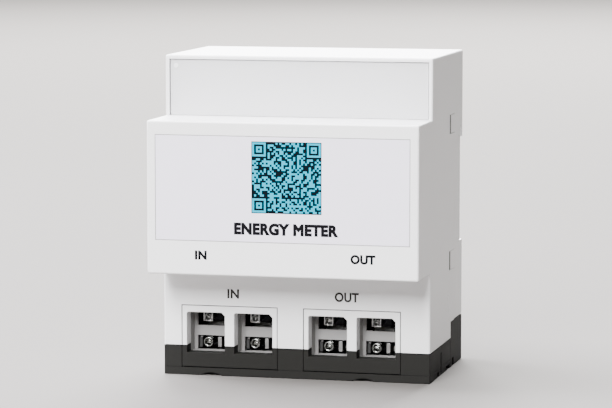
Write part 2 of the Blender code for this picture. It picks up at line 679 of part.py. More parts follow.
def clamp_cage(name, x, z):
    """The box clamp round a busbar and a wire, pulled forward by its screw."""
    cage = box(name, around(x, CAGE_WIDTH), (CAGE_FRONT, CAGE_BACK),
               around(z, CAGE_HEIGHT), "zinc_steel")
    cut(cage, box(f"{name}_inside", around(x, CAGE_WIDTH - 2 * CAGE_SIDE),
                  (CAGE_FRONT + CAGE_END, CAGE_BACK - CAGE_END),
                  around(z, CAGE_HEIGHT + OVERRUN)))
    cut(cage, rod(f"{name}_thread", "Y", SCREW_SHANK_RADIUS + GAP, (x, z),
                  (CAGE_FRONT - OVERRUN, CAGE_FRONT + CAGE_END + GAP), sides=16))


def busbar_width():
    return CAGE_WIDTH - 2 * CAGE_SIDE - 2 * GAP


def busbar(name, centre, top):
    """The contact plate through both cages, with an ear that comes out beside the screw."""
    x = centre - SCREW_OFFSET
    ear = (centre + EAR_OFFSET, centre + EAR_OFFSET + EAR_THICKNESS)
    plate = box(name, around(x, busbar_width()), (BUSBAR_FRONT, BUSBAR_BACK),
                (LOWER_SCREW_Z - CAGE_HEIGHT / 2, top), "tinned_copper")
    bridge = box(f"{name}_bridge", (x, ear[1]), (BUSBAR_FRONT, BUSBAR_BACK),
                 (BUSBAR_BRIDGE_BOTTOM, BUSBAR_BRIDGE_TOP))
    riser = box(f"{name}_riser", ear, (BUSBAR_BACK - EAR_RISER, BUSBAR_BACK),
                (EAR_BOTTOM, BUSBAR_BRIDGE_TOP))
    arm = box(f"{name}_arm", ear, (SCREW_FACE, BUSBAR_BACK), (EAR_BOTTOM, EAR_TOP))
    fold = box(f"{name}_fold", (ear[1] - EAR_FOLD_WIDTH, ear[1]),
               (SCREW_FACE, SCREW_FACE + EAR_THICKNESS), (EAR_BOTTOM, EAR_TOP))
    join(plate, bridge, riser, arm, fold)


def terminals():
    outer = {("in", "left"), ("out", "right")}
    for side, place_name, centre in WELLS:
        tag = f"{side}_{place_name}"
        x = centre - SCREW_OFFSET
        for level, z in (("upper", UPPER_SCREW_Z), ("lower", LOWER_SCREW_Z)):
            turned_screw(f"{level}_screw_{tag}", x, z, SCREW_FACE,
                         (SCREW_HEAD_RADIUS, SCREW_HEAD_LENGTH), SCREW_SHANK_RADIUS,
                         BUSBAR_FRONT - GAP, "zinc_steel")
            clamp_cage(f"{level}_cage_{tag}", x, z)
        shunted = (side, place_name) in outer
        top = SHUNT_BOTTOM + SHUNT_HEIGHT if shunted else LINK_BOTTOM + LINK_HEIGHT
        busbar(f"busbar_{tag}", centre, top)
        turned_screw(f"tap_screw_{tag}", centre + TAP_OFFSET, LOWER_SCREW_Z,
                     BLOCK_FRONT + GAP, (TAP_HEAD_RADIUS, TAP_HEAD_LENGTH),
                     TAP_SHANK_RADIUS, BLOCK_FRONT + TAP_LENGTH, "zinc_steel")


def current_path():
    """The shunt across the two outer busbars and the link across the two inner ones."""
    centres = [centre - SCREW_OFFSET for _, _, centre in WELLS]
    half = busbar_width() / 2
    deep = (BUSBAR_BACK + GAP, BUSBAR_BACK + GAP + BUSBAR_THICKNESS)
    shunt = box("current_shunt", (centres[0] - half, centres[3] + half), deep,
                (SHUNT_BOTTOM, SHUNT_BOTTOM + SHUNT_HEIGHT), "copper")
    middle = (centres[0] + centres[3]) / 2
    neck = (SHUNT_HEIGHT - SHUNT_RESISTOR_HEIGHT) / 2
    for place_name, low in (("lower", SHUNT_BOTTOM - OVERRUN),
                            ("upper", SHUNT_BOTTOM + SHUNT_HEIGHT - neck)):
        cut(shunt, box(f"shunt_waist_{place_name}", around(middle, SHUNT_RESISTOR_WIDTH),
                       wider(deep, OVERRUN), (low, low + OVERRUN + neck)))
    box("neutral_link", (centres[1] - half, centres[2] + half), deep,
        (LINK_BOTTOM, LINK_BOTTOM + LINK_HEIGHT), "copper")


# ---- Boards and what they carry ---------------------------------------------------------
def board_corners():
    x = BOARD_SIDE - POST_INSET
    low = BOARD_BOTTOM + POST_INSET
    high = BOARD_TOP - POST_INSET
    return [("lower_left", -x, low), ("lower_right", x, low),
            ("upper_left", -x, high), ("upper_right", x, high)]


def boards():
    main = box("main_board", (-BOARD_SIDE, BOARD_SIDE), (BOARD_FRONT, BOARD_BACK),
               (BOARD_BOTTOM, BOARD_TOP), "board_green")
    for name, x, z in board_corners():
        cut(main, rod(f"board_hole_{name}", "Y", BOARD_HOLE_RADIUS, (x, z),
                      wider((BOARD_FRONT, BOARD_BACK), OVERRUN), sides=16))
        head = BOARD_BACK + GAP
        screw = rod(f"board_screw_{name}", "Y", BOARD_SCREW_HEAD_RADIUS, (x, z),
                    (head, head + BOARD_SCREW_HEAD_LENGTH), "zinc_steel")
        join(screw, rod(f"board_screw_shank_{name}", "Y", BOARD_SCREW_RADIUS, (x, z),
                        (BOARD_FRONT - BOARD_SCREW_GRIP, head + GAP), sides=16))
    box("comm_board", around(0, COMM_BOARD_WIDTH),
        (TRAY_BACK + GAP, TRAY_BACK + GAP + BOARD_THICKNESS), (TRAY_BOTTOM, TRAY_TOP),
        "board_green")


def board_parts():
    back = BOARD_BACK + GAP
    core_x, core_y, core_z = TRANSFORMER_CORE
    coil_x, coil_y, coil_z = TRANSFORMER_COIL
    core = box("supply_transformer", around(TRANSFORMER_X, core_x),
               around(back + coil_y / 2, core_y), around(NOSE_MIDDLE, core_z), "core_steel")
    join(core, box("transformer_coil", around(TRANSFORMER_X, coil_x), (back, back + coil_y),
                   around(NOSE_MIDDLE, coil_z)))
    rod("supply_capacitor", "Y", CAPACITOR_RADIUS, (CAPACITOR_X, NOSE_MIDDLE),
        (back, back + CAPACITOR_LENGTH), "capacitor_sleeve")
    chip_x, chip_y, chip_z = CHIP_SIZE
    low_row = BOARD_BOTTOM + POST_INSET + chip_z / 2
    high_row = BOARD_TOP - POST_INSET - RADIO_SIZE[2] / 2
    box("measuring_chip", around(CHIP_X, chip_x), (back, back + chip_y),
        around(low_row, chip_z), "black_plastic")
    radio_x, radio_y, radio_z = RADIO_SIZE
    box("radio_module", around(RADIO_X, radio_x), (back, back + radio_y),
        around(high_row, radio_z), "can_metal")
    rod("backup_battery", "Y", BATTERY_RADIUS, (CAPACITOR_X, low_row - GAP),
        (BOARD_FRONT - GAP - BATTERY_THICKNESS, BOARD_FRONT - GAP), "can_metal")


def comm_terminal():
    width = COMM_POLES * COMM_PITCH
    back = TRAY_BACK - TRAY_WALL - GAP
    front = back - COMM_BLOCK_DEPTH
    low = TRAY_BOTTOM + TRAY_WALL + GAP
    block = box("comm_terminal_block", around(0, width), (front, back),
                (low, low + COMM_BLOCK_HEIGHT), "terminal_green")
    for pole in range(COMM_POLES):
        x = (pole - (COMM_POLES - 1) / 2) * COMM_PITCH
        z = low + COMM_SCREW_RISE
        cut(block,
            rod(f"comm_bore_{pole + 1}", "Y", COMM_BORE_RADIUS, (x, z),
                (front - OVERRUN, front + COMM_BORE_DEPTH), sides=16),
            box(f"comm_entry_{pole + 1}", around(x, COMM_ENTRY_SIZE),
                (front - OVERRUN, front + COMM_BORE_DEPTH),
                around(low + COMM_ENTRY_RISE, COMM_ENTRY_SIZE)))
        turned_screw(f"comm_screw_{pole + 1}", x, z, front + GAP,
                     (COMM_HEAD_RADIUS, COMM_HEAD_LENGTH), TAP_SHANK_RADIUS * 2,
                     front + COMM_BORE_DEPTH - GAP, "zinc_steel")


clear_scene()
front_cover()
label_plate()
upper_flap()
compartment_tray()
rear_base()
rail_clip()
bottom_skirt()
rear_foot()
for meter_side in FRAME_CENTRES:
    terminal_frame(meter_side)
    terminal_liner(meter_side)
    terminal_block(meter_side)
terminals()
current_path()
boards()
board_parts()
comm_terminal()
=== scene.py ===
# %% [markdown]
# # A smart electric meter for a mounting rail
#
# This lesson dresses a finished CAD assembly. The CAD model brings every piece at its real
# size and place, and every joint. Here each visible surface gets the finish of the real
# thing: moulded white plastic, a dark base band, a printed panel, and plated clamp screws
# deep in four wells. Pieces whose edges and joints show are modelled again, more finely.

# %% Load the frame
import json
import math
import random

import bmesh
import bpy
from mathutils import Matrix, Vector


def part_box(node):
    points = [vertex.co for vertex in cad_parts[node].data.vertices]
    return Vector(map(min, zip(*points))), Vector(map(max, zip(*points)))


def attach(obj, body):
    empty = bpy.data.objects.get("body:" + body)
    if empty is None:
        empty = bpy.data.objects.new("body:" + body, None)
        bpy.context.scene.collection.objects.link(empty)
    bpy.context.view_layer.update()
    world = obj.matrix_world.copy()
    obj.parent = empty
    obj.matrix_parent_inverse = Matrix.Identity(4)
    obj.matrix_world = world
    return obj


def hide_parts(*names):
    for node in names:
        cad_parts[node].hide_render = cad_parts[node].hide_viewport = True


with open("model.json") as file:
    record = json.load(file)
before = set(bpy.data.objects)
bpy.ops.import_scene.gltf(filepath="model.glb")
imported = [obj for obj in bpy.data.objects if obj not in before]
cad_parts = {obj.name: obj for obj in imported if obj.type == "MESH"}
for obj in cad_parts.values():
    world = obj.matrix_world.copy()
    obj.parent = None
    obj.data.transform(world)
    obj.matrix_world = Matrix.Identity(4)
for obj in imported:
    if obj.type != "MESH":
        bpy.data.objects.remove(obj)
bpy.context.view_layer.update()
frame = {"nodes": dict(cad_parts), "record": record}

# %% [markdown]
# ## Sizes
#
# Places come from the frame's own boxes, so a piece made here lands where the CAD piece is.
# Only sizes that the CAD leaves out, such as a hairline joint, are chosen here, in metres.

# %% Name the planes of the housing
mm = 0.001
X, Y, Z = 0, 1, 2
LOW, HIGH = 0, 1
cover_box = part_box("front_cover")
base_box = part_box("rear_base")
foot_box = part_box("rear_foot")
label_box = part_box("label_plate")
flap_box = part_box("upper_flap")
skirt_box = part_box("bottom_skirt")
frame_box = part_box("terminal_frame_in")

half_width = cover_box[HIGH][X]
nose_front = cover_box[LOW][Y]
lower_front = skirt_box[LOW][Y]
meter_top = cover_box[HIGH][Z]
cover_bottom = cover_box[LOW][Z]
base_seam = cover_box[HIGH][Y] + 0.3 * mm
skin_front = nose_front + 0.03 * mm
nose_bottom = 32.5 * mm
nose_top = 77.5 * mm
upper_front = nose_front + 20 * mm
foot_top = foot_box[HIGH][Z]
foot_front = foot_box[LOW][Y]
hairline = 0.12 * mm
same_place = 1e-6
print("housing", round(2 * half_width / mm, 1), "mm wide,", round(meter_top / mm, 1), "mm tall")

# %% [markdown]
# ## Writing shader maths as Python
#
# A finish is a small graph of nodes. Wiring each Math node by hand hides the idea, so one
# class wraps a socket and turns `a * 2 + b` into nodes. Anything that isn't arithmetic goes
# through a single method, `Finish.node`, which sets the node up and fills its inputs.


# %% A socket that can be added and multiplied
class Wire:
    def __init__(self, finish, socket):
        self.finish = finish
        self.socket = socket

    def maths(self, operation, first, second):
        return self.finish.node("ShaderNodeMath", {"operation": operation}, {0: first, 1: second})

    def __add__(self, other):
        return self.maths("ADD", self, other)

    def __mul__(self, other):
        return self.maths("MULTIPLY", self, other)


# %% A material under construction
class Finish:
    def __init__(self, name, **constants):
        self.material = bpy.data.materials.new(name)
        self.material.use_nodes = True
        self.nodes = self.material.node_tree.nodes
        self.links = self.material.node_tree.links
        self.shader = self.nodes["Principled BSDF"]
        for socket, value in constants.items():
            self.shader.inputs[socket.replace("_", " ")].default_value = value
        self.place = self.node("ShaderNodeTexCoord", out="Object")

    def node(self, kind, settings=None, inputs=None, out=0):
        made = self.nodes.new(kind)
        for name, value in (settings or {}).items():
            setattr(made, name, value)
        for name, value in (inputs or {}).items():
            self.feed(made.inputs[name], value)
        return Wire(self, made.outputs[out])

    def feed(self, socket, value):
        if isinstance(value, Wire):
            self.links.new(value.socket, socket)
        else:
            socket.default_value = value

    def scaled(self, x, y, z):
        return self.node("ShaderNodeMapping", None, {"Vector": self.place, "Scale": (x, y, z)})

    def noise(self, grain, detail=2.0, roughness=0.5, vector=None):
        """Noise from 0 to 1 whose features are about `grain` metres across."""
        inputs = {"Vector": vector or self.place, "Scale": 1 / grain, "Detail": detail,
                  "Roughness": roughness}
        return self.node("ShaderNodeTexNoise", None, inputs)

    def blend(self, factor, first, second):
        settings = {"data_type": "RGBA"}
        inputs = {0: factor, 6: (*first, 1) if isinstance(first, tuple) else first,
                  7: (*second, 1) if isinstance(second, tuple) else second}
        return self.node("ShaderNodeMix", settings, inputs, out=2)

    def colour(self, value):
        self.feed(self.shader.inputs["Base Color"], value)

    def roughness(self, value):
        self.feed(self.shader.inputs["Roughness"], value)

    def bump(self, height, strength, distance):
        inputs = {"Height": height, "Strength": strength, "Distance": distance}
        self.feed(self.shader.inputs["Normal"], self.node("ShaderNodeBump", None, inputs))
        return self.material


# %% [markdown]
# ## Moulded plastics
#
# The housing is moulded in a tool whose steel was spark-eroded, which leaves a fine, even
# grain. Seen close, such a surface has two scales: the grain and a slow drift in gloss where
# the plastic cooled unevenly. One function makes all the plastics
# from a colour, so that they look like parts of one product.


# %% Grained plastic in any colour
def moulded(name, colour, shade, gloss=0.46, grain=0.16 * mm, relief=0.5, shine=0.5):
    finish = Finish(name, Specular_IOR_Level=shine)
    drift = finish.noise(22 * mm, detail=3.0)
    pores = finish.noise(grain, detail=2.0, roughness=0.6)
    tone = finish.blend(drift * 0.7 + pores * 0.3, shade, colour)
    finish.colour(tone)
    finish.roughness(drift * 0.10 + pores * 0.08 + (gloss - 0.09))
    return finish.bump(pores, relief, 0.012 * mm)


white_plastic = moulded("white_plastic", (0.80, 0.80, 0.805), (0.775, 0.775, 0.78))
# painted shade: the flap is the same white plastic as the cover, given a darker copy of its colour
shaded_flap_plastic = moulded("shaded_flap_plastic", (0.585, 0.585, 0.597), (0.565, 0.565, 0.577), gloss=0.42)
charcoal_plastic = moulded("charcoal_plastic", (0.0162, 0.0160, 0.0148), (0.012, 0.0119, 0.0112),
                           gloss=0.6, relief=0.8, shine=0.05)
black_plastic = moulded("black_plastic", (0.004, 0.004, 0.004), (0.002, 0.002, 0.002),
                        gloss=0.5, shine=0.12)
rib_plastic = moulded("rib_plastic", (0.05, 0.05, 0.05), (0.035, 0.035, 0.035), gloss=0.5,
                      shine=0.2)
grey_plastic = moulded("grey_plastic", (0.27, 0.265, 0.262), (0.24, 0.235, 0.232), gloss=0.5,
                       shine=0.25)
green_plastic = moulded("green_plastic", (0.06, 0.34, 0.13), (0.04, 0.27, 0.10), gloss=0.45)
print("seven moulded plastics")

# %% [markdown]
# ## Printed film and inks
#
# The front panel is a satin film: whiter and bluer than the plastic, with the very slight
# waviness of a sheet glued down by hand. The inks lie on it as thin solid layers. They are
# less glossy than the film, so they get their own finishes with a fine screen-print tooth.


# %% Film and ink finishes
def film(name, colour, shade):
    finish = Finish(name, IOR=1.48)
    sheet = finish.noise(9 * mm, detail=1.5)
    tooth = finish.noise(0.25 * mm, detail=2.0)
    finish.colour(finish.blend(sheet, shade, colour))
    finish.roughness(sheet * 0.08 + tooth * 0.05 + 0.30)
    return finish.bump(sheet * 0.7 + tooth * 0.3, 0.25, 0.02 * mm)


def ink(name, colour, wear):
    finish = Finish(name, Specular_IOR_Level=0.02)
    screen = finish.noise(0.12 * mm, detail=2.0)
    worn = finish.noise(1.4 * mm, detail=3.0) * screen
    finish.colour(finish.blend(worn * wear, colour, (0.45, 0.45, 0.46)))
    finish.roughness(screen * 0.15 + 0.42)
    return finish.bump(screen, 0.2, 0.01 * mm)


label_film = film("label_film", (0.77, 0.74, 0.84), (0.745, 0.715, 0.815))
title_ink = ink("title_ink", (0.004, 0.004, 0.005), 0.01)
mark_ink = ink("mark_ink", (0.030, 0.028, 0.027), 0.05)
code_dark = ink("code_dark", (0.002, 0.005, 0.007), 0.0)
code_cyan = ink("code_cyan", (0.0005, 0.30, 0.43), 0.0)
print("one film and four inks")

# %% [markdown]
# ## Metals
#
# The metals are zinc on the lower and tap screws, a lighter copy of that zinc on the upper
# screws and the small brackets as painted light, near-black steel on the cages as painted
# shade, tin on the contact bars and bare copper behind them. Zinc plate has soft bluish and
# straw patches and fine turning marks. Tin is drawn along the strip. All vary mainly in
# roughness, which is what the eye reads as plating; the colour moves only a little.


# %% Plated and bare metals
def plated(name, warm, cool, stretch, gloss, relief=0.4):
    finish = Finish(name, Metallic=1.0)
    patches = finish.noise(1.6 * mm, detail=3.0)
    drawn = finish.noise(0.09 * mm, detail=3.0, vector=finish.scaled(*stretch))
    finish.colour(finish.blend(patches, cool, warm))
    finish.roughness(patches * 0.14 + drawn * 0.16 + (gloss - 0.15))
    return finish.bump(drawn, relief, 0.006 * mm)


zinc = plated("zinc", (0.42, 0.41, 0.37), (0.30, 0.32, 0.33), (1, 0.25, 1), 0.22, relief=0.06)
# painted light: a lighter copy of the zinc, for the upper screws and brackets that sit in shade
# high in the wells
painted_light_zinc = plated("painted_light_zinc", (0.70, 0.69, 0.64), (0.52, 0.54, 0.56), (1, 0.25, 1), 0.30,
                     relief=0.06)
tin = plated("tin", (0.42, 0.41, 0.39), (0.34, 0.35, 0.36), (1, 1, 0.12), 0.34)
# painted shade: the cages are plated steel, coloured near-black here to stand for the shade deep
# in the wells
painted_shade_steel = plated("painted_shade_steel_finish", (0.030, 0.030, 0.033), (0.018, 0.018, 0.020), (1, 0.25, 1), 0.40,
               relief=0.15)
copper = plated("copper", (0.86, 0.47, 0.30), (0.74, 0.36, 0.22), (0.12, 1, 1), 0.34)
can_steel = plated("can_steel", (0.72, 0.72, 0.71), (0.64, 0.65, 0.66), (1, 1, 1), 0.32)
print("six metals")

# %% [markdown]
# ## Finishes for the electronics
#
# The boards are seen only through the wire holes and with a cover pulled off, but they
# still need to read as boards: solder mask with copper tracks under it. A brick pattern
# gives tracks that run straight and break off, which is how tracks look from a distance.


# %% Boards, core and sleeve
def solder_mask(name):
    finish = Finish(name, IOR=1.5)
    turned = finish.node("ShaderNodeMapping", None,
                         {"Vector": finish.place, "Rotation": (math.pi / 2, 0, 0)})
    tracks = finish.node("ShaderNodeTexBrick", {"offset": 0.37, "squash": 0.6},
                         {"Vector": turned, "Scale": 160.0, "Mortar Size": 0.035,
                          "Brick Width": 1.1, "Row Height": 0.3}, out="Fac")
    finish.colour(finish.blend(tracks, (0.02, 0.13, 0.05), (0.05, 0.26, 0.10)))
    finish.roughness(finish.noise(2 * mm) * 0.15 + 0.28)
    return finish.bump(tracks, 0.5, 0.03 * mm)


def laminated(name):
    finish = Finish(name, Metallic=0.8)
    sheets = finish.node("ShaderNodeTexWave", {"bands_direction": "Y"},
                         {"Vector": finish.place, "Scale": 700.0, "Distortion": 0.4})
    varnish = finish.noise(1.2 * mm, detail=3.0)
    finish.colour(finish.blend(varnish, (0.06, 0.055, 0.05), (0.16, 0.15, 0.14)))
    finish.roughness(varnish * 0.2 + 0.3)
    return finish.bump(sheets, 0.6, 0.04 * mm)


board_mask = solder_mask("board_mask")
core_steel = laminated("core_steel")
sleeve = moulded("sleeve", (0.035, 0.05, 0.14), (0.02, 0.03, 0.10), gloss=0.3)
print("board, core and sleeve")

# %% [markdown]
# ## Modelling helpers
#
# Most pieces of a housing are a flat outline pushed through a thickness, with its outer
# edges rounded. So the helpers are few: draw an outline and extrude it, cut a mesh along
# planes, press a patch of faces in or out, and round the edges that stick out.


# %% Make solids and join them
def extruded(points, axis, low, high):
    """A solid from an outline of (first, second) points, pushed along X, Y or Z."""
    bm = bmesh.new()
    corners = []
    for point in points:
        place = list(point)
        place.insert(axis, low)
        corners.append(bm.verts.new(place))
    cap = bm.faces.new(corners)
    grown = bmesh.ops.extrude_face_region(bm, geom=[cap])
    push = Vector((0, 0, 0))
    push[axis] = high - low
    bmesh.ops.translate(bm, vec=push, verts=only(grown["geom"], bmesh.types.BMVert))
    bmesh.ops.recalc_face_normals(bm, faces=bm.faces)
    return bm


def only(geometry, kind):
    return [item for item in geometry if isinstance(item, kind)]


def slab(low, high):
    """A box between two corners."""
    bm = bmesh.new()
    bmesh.ops.create_cube(bm, size=1.0)
    low, high = Vector(low), Vector(high)
    bmesh.ops.scale(bm, vec=high - low, verts=bm.verts)
    bmesh.ops.translate(bm, vec=(low + high) / 2, verts=bm.verts)
    return bm


def add_to(bm, part):
    """Move one bmesh into another."""
    held = bpy.data.meshes.new("held")
    part.to_mesh(held)
    part.free()
    bm.from_mesh(held)
    bpy.data.meshes.remove(held)


# %% Cut along a plane and find faces on one
def slice_at(bm, axis, *places):
    for place in places:
        point, normal = Vector((0, 0, 0)), Vector((0, 0, 0))
        point[axis] = place
        normal[axis] = 1
        everything = bm.verts[:] + bm.edges[:] + bm.faces[:]
        bmesh.ops.bisect_plane(bm, geom=everything, dist=1e-7, plane_co=point, plane_no=normal)


def faces_facing(bm, axis, sign, at, spans):
    """Faces on one plane, looking one way, whose middles lie inside {axis: (low, high)}."""
    found = []
    for face in bm.faces:
        middle = face.calc_center_median()
        inside = all(low < middle[span_axis] < high for span_axis, (low, high) in spans.items())
        if inside and abs(middle[axis] - at) < 1e-5 and face.normal[axis] * sign > 0.9:
            found.append(face)
    return found


# %% Press faces in or out and round edges
def press(bm, faces, axis, distance):
    """Extrude faces, drop the ones left behind and move the new ones; returns those."""
    grown = bmesh.ops.extrude_face_region(bm, geom=faces)["geom"]
    bmesh.ops.delete(bm, geom=faces, context="FACES")
    push = Vector((0, 0, 0))
    push[axis] = distance
    bmesh.ops.translate(bm, vec=push, verts=only(grown, bmesh.types.BMVert))
    return only(grown, bmesh.types.BMFace)


def round_edges(bm, edges, radius, segments=3):
    bmesh.ops.bevel(bm, geom=edges, affect="EDGES", offset=radius, segments=segments,
                    profile=0.5, material=-1, clamp_overlap=True)


def outer_edges(bm, keep=lambda edge: True):
    """Edges that stick out by more than 40 degrees and that `keep` agrees to."""
    sharp = math.radians(40)
    return [edge for edge in bm.edges
            if edge.is_manifold and edge.calc_face_angle_signed(0) > sharp and keep(edge)]


def middle_of(edge):
    return (edge.verts[0].co + edge.verts[1].co) / 2


# %% [markdown]
# Shading needs a rule. If every face is smooth, a narrow rounded edge bends the light over
# the whole flat face beside it. So large faces square to an axis are shaded flat, the rest
# smooth, and an edge is sharp where it turns by more than 35 degrees or has one face only.


# %% Turn a bmesh into a piece that rides on a body
def piece(name, bm, finish, body, *nodes, slot=None):
    bm.normal_update()
    for face in bm.faces:
        square = max(abs(part) for part in face.normal) > 0.999
        face.smooth = not (square and face.calc_area() > 1 * mm * mm)
    for edge in bm.edges:
        edge.smooth = edge.is_manifold and edge.calc_face_angle(0) < math.radians(35)
    mesh = bpy.data.meshes.new(name)
    bm.to_mesh(mesh)
    bm.free()
    mesh.materials.append(finish)
    made = bpy.data.objects.new(name, mesh)
    bpy.context.scene.collection.objects.link(made)
    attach(made, body)
    if nodes:
        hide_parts(*nodes)
    return made


# %% [markdown]
# Some CAD pieces only lack their softened edges. A copy of such a mesh is merged, its flat
# regions are joined back into single faces, and its long outer edges get a small round.
# Short edges belong to round holes and stay as they are.


# %% Copy a CAD piece with softened edges
def softened(node, radius=0.12 * mm, shortest=0.6 * mm):
    bm = bmesh.new()
    bm.from_mesh(frame["nodes"][node].data)
    bmesh.ops.remove_doubles(bm, verts=bm.verts, dist=0.001 * mm)
    bmesh.ops.dissolve_limit(bm, angle_limit=math.radians(0.5), verts=bm.verts,
                             edges=bm.edges, delimit=set())
    bm.normal_update()
    round_edges(bm, outer_edges(bm, lambda edge: edge.calc_length() > shortest), radius, 2)
    return bm


# %% [markdown]
# ## The stepped cover
#
# The cover is one thin moulding. Its side outline is pushed across the full width, its
# outer edges are rounded, and then the skin is opened where the real one is: behind, below,
# at the flap, at the terminal frames and at the latch windows. A Solidify modifier turns
# the open skin into a wall, so every opening gets a true rim.

# %% Push the side outline across the width
cover_rear = base_seam - hairline
step_front = foot_front - hairline
step_top = foot_top + hairline
cover_outline = [
    (lower_front, cover_bottom), (lower_front, nose_bottom), (skin_front, nose_bottom),
    (skin_front, nose_top), (upper_front, nose_top), (upper_front, meter_top),
    (cover_rear, meter_top), (cover_rear, step_top), (step_front, step_top),
    (step_front, cover_bottom)]
cover = extruded(cover_outline, X, -half_width, half_width)


def clear_of_seams(edge):
    place = middle_of(edge)
    at_rear = place[Y] > cover_rear - same_place or place[Z] < cover_bottom + same_place
    at_step = abs(place[Z] - step_top) < same_place or abs(place[Y] - step_front) < same_place
    return not (at_rear or at_step)


cover_round = 0.5 * mm
round_edges(cover, outer_edges(cover, clear_of_seams), cover_round)
print("cover blank:", len(cover.faces), "faces")

# %% Sink the label recess
label_gap = 0.22 * mm
recess_depth = 0.45 * mm
label_left, label_right = label_box[LOW][X] - label_gap, label_box[HIGH][X] + label_gap
label_low, label_high = label_box[LOW][Z] - label_gap, label_box[HIGH][Z] + label_gap
slice_at(cover, X, label_left, label_right)
slice_at(cover, Z, label_low, label_high)
recess = faces_facing(cover, Y, -1, skin_front,
                      {X: (label_left, label_right), Z: (label_low, label_high)})
press(cover, recess, Y, recess_depth)
print("recess", round((label_right - label_left) / mm, 1), "mm wide")

# %% Open the rebate that the flap lies in
hinge_ear = 0.7 * mm
rebate_depth = 2.4 * mm
flap_side = flap_box[HIGH][X] - hinge_ear + hairline
flap_top = flap_box[HIGH][Z] + hairline
slice_at(cover, X, -flap_side, flap_side)
slice_at(cover, Z, flap_top)
rebate = faces_facing(cover, Y, -1, upper_front,
                      {X: (-flap_side, flap_side), Z: (nose_top, flap_top)})
rebate_floor = press(cover, rebate, Y, rebate_depth)
bmesh.ops.delete(cover, geom=rebate_floor, context="FACES")
print("rebate", round(2 * flap_side / mm, 1), "mm wide")

# %% Open the front windows for the two terminal frames
window_gap = 0.30 * mm
for side in ("in", "out"):
    low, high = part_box(f"terminal_frame_{side}")
    left, right = low[X] - window_gap, high[X] + window_gap
    slice_at(cover, X, left, right)
    slice_at(cover, Z, high[Z] + window_gap)
    opening = faces_facing(cover, Y, -1, lower_front,
                           {X: (left, right), Z: (0, high[Z] + window_gap)})
    bmesh.ops.delete(cover, geom=opening, context="FACES")
print("two windows, with a gap of", window_gap / mm, "mm")

# %% [markdown]
# The base clips into the cover with four arms, two on each side. Each arm fills a window in
# the cover's side wall, and a slit stays open in front of it for the release blade. A
# shallow guide slot for the dark base is pressed in lower down.

# %% Open the latch windows and press the guide slots
slit_reach = 2.0 * mm
arm_front = base_box[LOW][Y]
arm_lows = (30.0 * mm, 71.3 * mm)
arm_height = 5.6 * mm
for low_z in arm_lows:
    high_z = low_z + arm_height
    slice_at(cover, Z, low_z - hairline, high_z + hairline)
    slice_at(cover, Y, arm_front - slit_reach)
    for sign in (-1, 1):
        span = {Y: (arm_front - slit_reach, 1), Z: (low_z - hairline, high_z + hairline)}
        window = faces_facing(cover, X, sign, sign * half_width, span)
        bmesh.ops.delete(cover, geom=window, context="FACES")
guide_front, guide_rear = nose_front + 45.1 * mm, nose_front + 45.9 * mm
guide_low, guide_high = 17.3 * mm, 22.8 * mm
guide_depth = 0.35 * mm
slice_at(cover, Y, guide_front, guide_rear)
slice_at(cover, Z, guide_low, guide_high)
for sign in (-1, 1):
    span = {Y: (guide_front, guide_rear), Z: (guide_low, guide_high)}
    guide = faces_facing(cover, X, sign, sign * half_width, span)
    press(cover, guide, X, -sign * guide_depth)
print(len(arm_lows), "latch windows and one guide slot on each side")

# %% Take away the rear and the underside, and give the skin its wall
hidden = faces_facing(cover, Y, 1, cover_rear, {})
hidden += faces_facing(cover, Y, 1, step_front, {})
hidden += faces_facing(cover, Z, -1, step_top, {})
hidden += faces_facing(cover, Z, -1, cover_bottom, {})
bmesh.ops.delete(cover, geom=hidden, context="FACES")
cover_piece = piece("cover_shell", cover, white_plastic, "housing", "front_cover",
                    slot="white_plastic")


def wall(target, thickness):
    solid = target.modifiers.new("wall", "SOLIDIFY")
    solid.thickness = thickness
    solid.offset = -1


cover_wall = 0.8 * mm
wall(cover_piece, cover_wall)
print("cover skin:", len(cover_piece.data.polygons), "faces")

# %% [markdown]
# ## The flap
#
# The lid lies 0.6 mm below the frame round it, and the shadow along its top edge is what
# tells the eye that it opens. It is a plain plate, softened all round. In its upper left
# corner the hole for a seal is closed by a small button, which shows as a faint ring.

# %% Make the lid and its button
lid_front, lid_back = flap_box[LOW][Y], flap_box[HIGH][Y]
lid_side = flap_side - 2.2 * hairline
button_radius, button_depth = 0.70 * mm, 1.0 * mm
button_x, button_z = -37.35 * mm, 92.3 * mm
lid = slab((-lid_side, lid_front, nose_top + 0.05 * mm),
           (lid_side, lid_back, flap_box[HIGH][Z] - 0.10 * mm))
round_edges(lid, outer_edges(lid), 0.15 * mm, 2)
# the lid takes the darker copy of the white plastic: painted shade
piece("flap_lid", lid, shaded_flap_plastic, "flap", "upper_flap", slot="white_plastic")
button = bmesh.new()
button_place = Matrix.Translation((button_x, lid_front + 0.3 * mm, button_z))
bmesh.ops.create_cone(button, segments=24, radius1=button_radius, radius2=button_radius,
                      cap_ends=True, depth=button_depth,
                      matrix=button_place @ Matrix.Rotation(math.pi / 2, 4, "X"))
round_edges(button, outer_edges(button), 0.05 * mm, 2)
piece("seal_button", button, white_plastic, "flap", slot="white_plastic")
print("flap lid", round(2 * lid_side / mm, 1), "mm wide, with its seal button")

# %% [markdown]
# ## The front panel and its print
#
# The panel is a thin film let into the nose, with a fine grey strip in the gap round it as
# painted shadow. On it stand a square of cyan cells on near-black, and a title. The cells are
# drawn at random from a fixed seed, and a cell is less likely to be lit beside lit ones, which
# keeps the pattern fine. It gets the three corner squares that such a code has, but on a grid
# size that no reader accepts, so it says nothing. All print is real geometry, a few thousandths
# of a millimetre thick, so it needs no image.

# %% Lay the film
print_face = skin_front + 0.03 * mm
film_back = skin_front + 0.40 * mm
film_low = (label_box[LOW][X], print_face, label_box[LOW][Z])
film_high = (label_box[HIGH][X], film_back, label_box[HIGH][Z])
panel = slab(film_low, film_high)
round_edges(panel, outer_edges(panel), 0.04 * mm, 1)
piece("panel_film", panel, label_film, "housing", "label_plate", slot="label_film")


